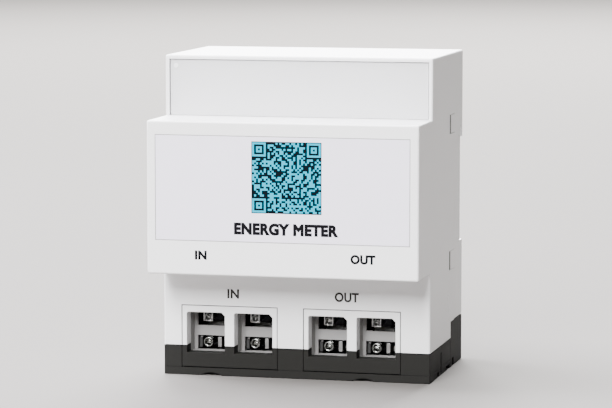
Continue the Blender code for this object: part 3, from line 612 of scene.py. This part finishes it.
def gap_strip(name, spans, front, back, finish, slot_name):
    """Thin bars in a gap; each span is (low x, high x, low z, high z)."""
    strip = bmesh.new()
    for low_x, high_x, low_z, high_z in spans:
        add_to(strip, slab((low_x, front, low_z), (high_x, back, high_z)))
    piece(name, strip, finish, "housing", slot=slot_name)


inset = 0.01 * mm
# painted shadow: grey strips fill the gap round the film and stand for its shade
gap_strip("panel_shadow_strip",
          [(label_left + inset, film_low[X] - inset, label_low, label_high),
           (film_high[X] + inset, label_right - inset, label_low, label_high),
           (film_low[X], film_high[X], label_low + inset, film_low[Z] - inset),
           (film_low[X], film_high[X], film_high[Z] + inset, label_high - inset)],
          skin_front + 0.10 * mm, film_back, grey_plastic, "grey_plastic")
print("panel film", round((film_high[X] - film_low[X]) / mm, 1), "mm wide")

# %% Decide which cells of the square are lit
cells = 35
corner_cells = 7
far_corner = cells - corner_cells
first_chance, drop_per_neighbour = 0.60, 0.14
chooser = random.Random(20)


def lit(column, row, chance):
    """A corner square has a lit outer ring and a lit inner ring, and a dark border."""
    half_corner = corner_cells // 2
    for corner_column, corner_row in ((0, 0), (0, far_corner), (far_corner, far_corner)):
        across, up = column - corner_column, row - corner_row
        if -1 <= across <= corner_cells and -1 <= up <= corner_cells:
            ring = max(abs(across - half_corner), abs(up - half_corner))
            return ring in (1, half_corner)
    return chooser.random() < chance


pattern = {}
for row in range(cells):
    for column in range(cells):
        lit_before = (pattern.get((column - 1, row), False), pattern.get((column, row - 1), False))
        chance = first_chance - drop_per_neighbour * sum(lit_before)
        pattern[column, row] = lit(column, row, chance)
print(sum(pattern.values()), "of", cells * cells, "cells are lit")

# %% Print the square
code_side = 20.4 * mm
code_border = 0.25 * mm
ground_depth, cell_depth = 0.004 * mm, 0.012 * mm
code_middle = Vector((1.5 * mm, 0, 61.55 * mm))


def printed_grid(name, side, steps, keep, depth, finish):
    bm = bmesh.new()
    turn = Matrix.Rotation(math.pi / 2, 4, "X")
    place = Matrix.Translation((code_middle.x, print_face - depth, code_middle.z)) @ turn
    bmesh.ops.create_grid(bm, x_segments=steps, y_segments=steps, size=side / 2, matrix=place)
    cell = side / steps
    dark = []
    for face in bm.faces:
        middle = face.calc_center_median() - code_middle
        column = int((middle.x + side / 2) / cell)
        row = int((middle.z + side / 2) / cell)
        if not keep(column, row):
            dark.append(face)
    bmesh.ops.delete(bm, geom=dark, context="FACES")
    bmesh.ops.recalc_face_normals(bm, faces=bm.faces)
    if bm.faces[:][0].normal.y > 0:
        bmesh.ops.reverse_faces(bm, faces=bm.faces)
    wall(piece(name, bm, finish, "housing"), depth / 2)


printed_grid("code_ground", code_side + 2 * code_border, 1, lambda column, row: True,
             ground_depth, code_dark)
printed_grid("code_cells", code_side, cells, lambda column, row: pattern[column, row],
             cell_depth, code_cyan)
print("square of", round(code_side / mm, 1), "mm")


# %% [markdown]
# Lettering starts as a text object, which is made a mesh before it is placed. Its strokes are
# too thin for a printed title. The curve's offset would thicken them, but it tears the narrow
# corners of an M. A bevel doesn't: it lays a rim round each letter. The rim and the letter's
# front are then flattened into one plane, and the whole is sized by measuring it.


# %% Print words
def printed(name, words, centre_x, base_z, size, face, finish, rim):
    curve = bpy.data.curves.new(name, "FONT")
    curve.body = words
    curve.bevel_depth = rim
    curve.bevel_resolution = 0
    curve.resolution_u = 6
    curve.space_character = 1 + 1.2 * rim
    text = bpy.data.objects.new(name + "_text", curve)
    bpy.context.scene.collection.objects.link(text)
    bpy.context.view_layer.update()
    graph = bpy.context.evaluated_depsgraph_get()
    letters = bpy.data.meshes.new_from_object(text.evaluated_get(graph))
    bpy.data.objects.remove(text)
    width, height = size
    bm = bmesh.new()
    bm.from_mesh(letters)
    bm.normal_update()
    edge_on = 1e-4
    away = [item for item in bm.faces if item.normal.z < edge_on]
    bmesh.ops.delete(bm, geom=away, context="FACES")
    xs = [vert.co.x for vert in bm.verts]
    ys = [vert.co.y for vert in bm.verts]
    bmesh.ops.translate(bm, vec=(-(max(xs) + min(xs)) / 2, -min(ys), 0), verts=bm.verts)
    stretch = (width / (max(xs) - min(xs)), height / (max(ys) - min(ys)), 1e-4)
    bmesh.ops.scale(bm, vec=stretch, verts=bm.verts)
    bmesh.ops.rotate(bm, matrix=Matrix.Rotation(math.pi / 2, 3, "X"), verts=bm.verts)
    depth = 0.01 * mm
    bmesh.ops.translate(bm, vec=(centre_x, face - depth, base_z), verts=bm.verts)
    wall(piece(name, bm, finish, "housing"), depth / 2)


title_line, nose_line, lower_line = 44.7 * mm, 37.05 * mm, 23.45 * mm
title_rim, nose_rim, lower_rim = 0.066, 0.058, 0.040
printed("title", "ENERGY METER", 1.4 * mm, title_line, (31.2 * mm, 3.6 * mm), print_face,
        title_ink, title_rim)
for name, words, centre_x, size in (("in", "IN", -24.2 * mm, (3.6 * mm, 2.7 * mm)),
                                    ("out", "OUT", 24.2 * mm, (7.4 * mm, 2.8 * mm))):
    printed(f"mark_{name}_nose", words, centre_x, nose_line, size, skin_front, title_ink,
            nose_rim)
for name, words, centre_x, size in (("in", "IN", -19.1 * mm, (3.6 * mm, 2.8 * mm)),
                                    ("out", "OUT", 15.5 * mm, (7.3 * mm, 2.9 * mm))):
    printed(f"mark_{name}_lower", words, centre_x, lower_line, size, lower_front, mark_ink,
            lower_rim)
print("title and four marks")

# %% [markdown]
# ## Terminal frames
#
# Each pair of wells has a white frame above and a dark foot below, which come off together.
# Both are combs: the wells are open towards the joint between them. So each is a single
# outline pushed back by the frame's depth, with its front rim softened. A dark strip lies in
# the gap round each frame as painted shadow.

# %% The outlines of a frame and its foot
well_width = 11.7 * mm
well_pitch = 14.6 * mm
well_top = 19.0 * mm
well_bottom = 6.8 * mm
corner_cut = 1.0 * mm
small_cut = 0.4 * mm
frame_gap = 0.27 * mm
frame_side = frame_box[HIGH][X] - frame_box[LOW][X]


def frame_outline(middle, half, low, high):
    points = [(middle - half, low), (middle - half, high), (middle + half, high),
              (middle + half, low)]
    for centre in (middle + well_pitch / 2, middle - well_pitch / 2):
        right, left = centre + well_width / 2, centre - well_width / 2
        points += [(right, low), (right, well_top - corner_cut), (right - corner_cut, well_top),
                   (left + small_cut, well_top), (left, well_top - small_cut), (left, low)]
    return points


def foot_outline(middle, half, low, high):
    points = [(middle - half, high), (middle - half, low), (middle + half, low),
              (middle + half, high)]
    for centre in (middle + well_pitch / 2, middle - well_pitch / 2):
        right, left = centre + well_width / 2, centre - well_width / 2
        points += [(right, high), (right, well_bottom), (left, well_bottom), (left, high)]
    return points


# %% Make both frames and both feet
wells = []
frame_round, foot_round = 0.16 * mm, 0.10 * mm
# painted shadow: dark strips in the gap round each frame stand for the shade in that gap
shadow_strip_width, shadow_strip_setback, shadow_strip_depth = 0.22 * mm, 0.15 * mm, 0.60 * mm
for side in ("in", "out"):
    low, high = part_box(f"terminal_frame_{side}")
    foot_low, foot_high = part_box(f"frame_foot_{side}")
    middle = (low[X] + high[X]) / 2
    half = frame_side / 2 + window_gap - frame_gap
    comb = extruded(frame_outline(middle, half, low[Z], high[Z] + window_gap - frame_gap), Y,
                    low[Y], high[Y])
    frame_rim = outer_edges(comb, lambda edge: middle_of(edge)[Z] > low[Z] + same_place)
    round_edges(comb, frame_rim, frame_round, 2)
    piece(f"well_frame_{side}", comb, white_plastic, f"terminal_cover_{side}",
          f"terminal_frame_{side}", slot="white_plastic")
    comb = extruded(foot_outline(middle, half + 0.1 * mm, foot_low[Z], foot_high[Z]), Y,
                    foot_low[Y], foot_high[Y])
    foot_rim = outer_edges(comb, lambda edge: middle_of(edge)[Z] < foot_high[Z] - same_place)
    round_edges(comb, foot_rim, foot_round, 2)
    piece(f"well_foot_{side}", comb, charcoal_plastic, f"terminal_cover_{side}",
          f"frame_foot_{side}", slot="dark_plastic")
    reach, top = half + 0.02 * mm, high[Z] + window_gap - frame_gap
    left, right = middle - reach, middle + reach
    # the dark strips round the frame are painted shadow
    shadow_strip_foot, shadow_strip_top, shadow_strip_front = low[Z] + 0.2 * mm, top + 0.24 * mm, low[Y] + shadow_strip_setback
    gap_strip(f"window_seal_{side}",
              [(left - shadow_strip_width, left, shadow_strip_foot, shadow_strip_top),
               (right, right + shadow_strip_width, shadow_strip_foot, shadow_strip_top),
               (left - 0.1 * mm, right + 0.1 * mm, top + 0.02 * mm, top + 0.23 * mm)],
              shadow_strip_front, shadow_strip_front + shadow_strip_depth, rib_plastic, "dark_plastic")
    wells.append((f"{side}_left", middle - well_pitch / 2))
    wells.append((f"{side}_right", middle + well_pitch / 2))
print("wells at", [round(centre / mm, 1) for _, centre in wells], "mm")

# %% [markdown]
# ## Clamp screws
#
# A clamp screw is turned, so its shape is a profile spun about its axis: a head with a
# raised rim round a deep socket, and a threaded shank. A short bar across the socket stands
# for the driver slot and shows how far the screw has turned. The thread is a row of fine
# rings, which at this size can't be told from a helix.


# %% Spin a screw
def screw_profile(head, length, shank, reach, pitch):
    """(radius, depth) points from the socket's floor over the rim and down to the tip."""
    points = [(0, 0.90 * length), (0.40 * head, 0.90 * length), (0.64 * head, 0.30 * length),
              (0.70 * head, 0.06 * length), (0.76 * head, 0.015 * length), (0.84 * head, 0.0),
              (0.92 * head, 0.02 * length), (head, 0.08 * length), (head, length),
              (shank, length)]
    for turn in range(int((reach - length - pitch) / pitch)):
        start = length + pitch * (turn + 0.6)
        points += [(shank, start), (0.84 * shank, start + pitch / 2)]
    return points + [(0.84 * shank, reach - 0.4 * pitch), (0.5 * shank, reach), (0, reach)]


def turned_screw(x, z, face, tip, head, length, shank, pitch, slot_turn):
    bm = bmesh.new()
    row = [bm.verts.new((radius, depth, 0)) for radius, depth
           in screw_profile(head, length, shank, tip - face, pitch)]
    profile = [bm.edges.new(pair) for pair in zip(row, row[1:])]
    bmesh.ops.spin(bm, geom=row + profile, cent=(0, 0, 0), axis=(0, 1, 0),
                   angle=2 * math.pi, steps=32, use_merge=True)
    bmesh.ops.remove_doubles(bm, verts=bm.verts, dist=0.001 * mm)
    bmesh.ops.recalc_face_normals(bm, faces=bm.faces)
    blade = slab((-0.42 * head, 0.30 * length, -0.14 * head),
                 (0.42 * head, 0.85 * length, 0.14 * head))
    round_edges(blade, outer_edges(blade), 0.05 * head, 2)
    add_to(bm, blade)
    bmesh.ops.rotate(bm, matrix=Matrix.Rotation(slot_turn, 3, "Y"), verts=bm.verts)
    bmesh.ops.translate(bm, vec=(x, face, z), verts=bm.verts)
    return bm


def middle_of_box(node, axis):
    low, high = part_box(node)
    return (low[axis] + high[axis]) / 2


# %% Fit the eight clamp screws and the four tap screws
head_radius = {"upper": 1.15 * mm, "lower": 1.5 * mm, "tap": 1.25 * mm}
head_length, shank_radius, thread_pitch = 2.0 * mm, 1.2 * mm, 0.5 * mm
tap_length, tap_shank, tap_pitch = 0.26 * mm, 0.6 * mm, 0.35 * mm
tap_head_lift = 0.58 * mm
for number, (well, _) in enumerate(wells):
    for level, slot_turn in (("upper", 0.5 + number), ("lower", -0.6 + 0.3 * number)):
        node = f"{level}_screw_{well}"
        low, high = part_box(node)
        bm = turned_screw(middle_of_box(node, X), middle_of_box(node, Z), low[Y], high[Y],
                          head_radius[level], head_length, shank_radius, thread_pitch, slot_turn)
        # the upper screws take the lighter copy of the zinc: painted light
        piece(f"clamp_{level}_{well}", bm, painted_light_zinc if level == "upper" else zinc,
              f"{node}_body", node, slot="zinc_steel")
    node = f"tap_screw_{well}"
    low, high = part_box(node)
    bm = turned_screw(middle_of_box(node, X), middle_of_box(node, Z), low[Y] - tap_head_lift,
                      high[Y], head_radius["tap"], tap_length, tap_shank, tap_pitch, number)
    piece(f"tap_{well}", bm, zinc, f"{node}_body", node, slot="zinc_steel")
print("twelve screws in four wells")

# %% [markdown]
# ## Cages
#
# A cage is a strip of steel bent into a square loop. A box without top and bottom, its
# upright corners rounded and its skin thickened inwards, gives the look of bent strip.

# %% Bend the eight cages
cage_steel, cage_bend = 1.0 * mm, 0.9 * mm
for well, _ in wells:
    for level in ("upper", "lower"):
        node = f"{level}_cage_{well}"
        low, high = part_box(node)
        loop = slab(low, high)
        upright = [edge for edge in loop.edges
                   if abs(edge.verts[0].co.z - edge.verts[1].co.z) > 1 * mm]
        round_edges(loop, upright, cage_bend, 4)
        open_ends = faces_facing(loop, Z, 1, high[Z], {}) + faces_facing(loop, Z, -1, low[Z], {})
        bmesh.ops.delete(loop, geom=open_ends, context="FACES")
        # the cages take the near-black steel: painted shade
        made = piece(f"bent_{level}_{well}", loop, painted_shade_steel, f"{node}_body", node,
                     slot="zinc_steel")
        wall(made, cage_steel)
print("eight cages")

# %% [markdown]
# ## What else shows in a well
#
# Three small things fill the view behind each frame. A thin bracket holds the upper screw
# between two arms. The contact bar ends in a narrow ear beside the lower screw, so the front
# of its mesh is drawn in to half its width. And the black block has a rib on the left, with a
# small stop in front of it near the top.

# %% Set the brackets, ears and ribs
bracket_left = (-1.40, -1.12, 15.23, 18.3)
bracket_right = (1.12, 1.40, 15.23, 18.3)
bracket_foot = (-1.40, 1.40, 14.95, 15.25)
ear_rear = -5 * mm
ear_shift = 0.8 * mm
ear_narrowing = 0.52
bracket_round, block_round = 0.06 * mm, 0.08 * mm
for well, centre in wells:
    low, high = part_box(f"upper_screw_{well}")
    middle = (low[X] + high[X]) / 2
    bracket = bmesh.new()
    for left, right, foot, top in (bracket_left, bracket_right, bracket_foot):
        arm = slab((middle + left * mm, low[Y] - 0.15 * mm, foot * mm),
                   (middle + right * mm, low[Y] + 1.2 * mm, top * mm))
        round_edges(arm, outer_edges(arm), bracket_round, 2)
        add_to(bracket, arm)
    # painted light: the bracket takes the lighter copy of the zinc
    piece(f"screw_bracket_{well}", bracket, painted_light_zinc, "housing", slot="tinned_copper")

    node = f"busbar_{well}"
    bar = softened(node, 0.05 * mm)
    root = centre + 3.05 * mm
    for vert in bar.verts:
        if vert.co.y < ear_rear:
            vert.co.x = root - ear_shift + (vert.co.x - root) * ear_narrowing
    piece(f"contact_bar_{well}", bar, tin, "housing", node, slot="tinned_copper")

    rib = slab((centre - 4.75 * mm, -5.95 * mm, 6.9 * mm),
               (centre - 3.85 * mm, -5.0 * mm, 10.75 * mm))
    round_edges(rib, outer_edges(rib), block_round, 2)
    piece(f"block_rib_{well}", rib, rib_plastic, "housing", slot="black_plastic")
    stop = slab((centre - 4.3 * mm, -6.2 * mm, 9.9 * mm),
                (centre - 3.7 * mm, -5.4 * mm, 10.35 * mm))
    round_edges(stop, outer_edges(stop), block_round, 2)
    piece(f"block_stop_{well}", stop, grey_plastic, "housing", slot="grey_plastic")
print("brackets, ears and ribs in four wells")

# %% [markdown]
# ## The base band, the base and the clip
#
# The dark band under the cover is a separate moulding. A fine parting line runs round it a
# little above the floor. It is pressed into a copy of the CAD piece, between two close cuts.
# The base, foot, clip, tray and wire block get the same softened copies, without a line.

# %% Cut the parting line into the band
band = softened("bottom_skirt", 0.18 * mm)
line_low, line_high = 2.32 * mm, 2.48 * mm
front_groove, side_groove = 0.15 * mm, 0.12 * mm
slice_at(band, Z, line_low, line_high)
band.normal_update()
line_span = {Z: (line_low, line_high)}
line = faces_facing(band, Y, -1, lower_front, line_span)
for sign in (-1, 1):
    line_side = faces_facing(band, X, sign, sign * half_width, line_span)
    press(band, line_side, X, -sign * side_groove)
press(band, line, Y, front_groove)
bmesh.ops.dissolve_degenerate(band, dist=0.0005 * mm, edges=band.edges)
piece("base_band", band, charcoal_plastic, "housing", "bottom_skirt", slot="dark_plastic")
print("band with", len(line), "faces in its front line")

# %% Soften the other mouldings
for node, name, finish, body, slot_name, radius in (
        ("rear_base", "back_shell", white_plastic, "housing", "white_plastic", 0.15 * mm),
        ("rear_foot", "back_foot", charcoal_plastic, "housing", "dark_plastic", 0.15 * mm),
        ("rail_clip", "spring_clip", black_plastic, "clip", "black_plastic", 0.12 * mm),
        ("compartment_tray", "flap_tray", white_plastic, "housing", "white_plastic", 0.10 * mm),
        ("comm_terminal_block", "wire_block", green_plastic, "housing", "terminal_green",
         0.12 * mm)):
    piece(name, softened(node, radius), finish, body, node, slot=slot_name)
    print(name, "softened by", round(radius / mm, 2), "mm")

# %% [markdown]
# Behind each release slit a black strip sits just under the skin as painted shadow, so the
# slit reads dark and no light comes through it.

# %% Put painted shadow strips behind the slits
for number, low_z in enumerate(arm_lows):
    for sign in (-1, 1):
        outer, inner = sign * (half_width - 0.04 * mm), sign * (half_width - 0.75 * mm)
        # painted shadow: a black strip stands for the dark gap behind the slit
        rib = slab((min(outer, inner), arm_front - slit_reach, low_z),
                   (max(outer, inner), arm_front - 0.03 * mm, low_z + arm_height))
        side_name = "left" if sign < 0 else "right"
        piece(f"slit_shadow_strip_{side_name}_{number}", rib, black_plastic, "housing",
              slot="black_plastic")
# the four strips counted here are painted shadow
print("four slit ribs")

# %% [markdown]
# ## Finishes on the CAD pieces that stay
#
# The remaining pieces already have the right shape. Each gets the finish of its material
# instead of a new mesh.

# %% Hand out the finishes
finish_of_slot = {
    "white_plastic": white_plastic, "dark_plastic": charcoal_plastic,
    "black_plastic": black_plastic, "grey_plastic": grey_plastic, "zinc_steel": zinc,
    "tinned_copper": tin, "copper": copper, "board_green": board_mask,
    "terminal_green": green_plastic, "core_steel": core_steel, "capacitor_sleeve": sleeve,
    "can_metal": can_steel, "label_film": label_film}
for entry in frame["record"]["subparts"]:
    node = frame["nodes"][entry["node"]]
    node.data.materials.clear()
    node.data.materials.append(finish_of_slot[entry["material_slot"]])

# %% [markdown]
# ## Floor, light and camera
#
# The meter stands on a plain pale floor. A large soft light in front, a weaker one higher up
# and a broad one on the left give soft shadows under the nose and in the wells, and a fourth
# lights only the floor behind. The long lens and the low viewpoint keep the edges nearly
# parallel.

# %% Floor
sweep = bmesh.new()
bmesh.ops.create_grid(sweep, x_segments=1, y_segments=1, size=3.0)
floor_mesh = bpy.data.meshes.new("floor")
sweep.to_mesh(floor_mesh)
sweep.free()
floor = bpy.data.objects.new("floor", floor_mesh)
bpy.context.scene.collection.objects.link(floor)
paper = Finish("paper", Roughness=0.9)
paper.colour(paper.blend(paper.noise(0.4), (0.122, 0.115, 0.108), (0.132, 0.124, 0.117)))
floor_mesh.materials.append(paper.material)
print("floor of", floor.dimensions.x, "m")


# %% Lights
def soft_light(name, place, target, size, power, colour=(1, 1, 1)):
    lamp = bpy.data.lights.new(name, "AREA")
    lamp.shape = "RECTANGLE"
    lamp.size, lamp.size_y = size
    lamp.energy = power
    lamp.color = colour
    made = bpy.data.objects.new(name, lamp)
    made.location = place
    made.rotation_euler = (Vector(target) - Vector(place)).to_track_quat("-Z", "Y").to_euler()
    bpy.context.scene.collection.objects.link(made)


meter_middle = (0, 0, 0.05)
soft_light("key", (-0.06, -1.35, 0.90), meter_middle, (0.7, 0.75), 78.0, (1.0, 0.995, 1.0))
soft_light("high", (-0.20, -0.80, 1.25), meter_middle, (0.6, 0.6), 18.0, (1.0, 0.995, 1.0))
soft_light("top", (-0.58, 0.05, 1.00), meter_middle, (0.9, 0.9), 88.0, (0.95, 0.95, 1.0))
soft_light("backdrop", (-0.3, 1.9, 1.3), (-0.3, 1.3, 0), (1.4, 1.0), 330.0)
world = bpy.data.worlds.new("studio")
world.use_nodes = True
world.node_tree.nodes["Background"].inputs["Color"].default_value = (1.0, 0.93, 0.87, 1)
world.node_tree.nodes["Background"].inputs["Strength"].default_value = 0.10
bpy.context.scene.world = world
print("four soft lights and a dim room")

# %% Camera
lens = bpy.data.cameras.new("camera")
lens.lens = 177.4
lens.sensor_width = 36.0
camera = bpy.data.objects.new("camera", lens)
viewpoint, looked_at = Vector((0.2116, -0.8736, 0.1483)), Vector((0.00006, -0.0035, 0.05084))
camera.location = viewpoint
aim = looked_at - viewpoint
camera.rotation_euler = aim.to_track_quat("-Z", "Y").to_euler()
bpy.context.scene.collection.objects.link(camera)
bpy.context.scene.camera = camera
print("camera", round(aim.length, 3), "m away")
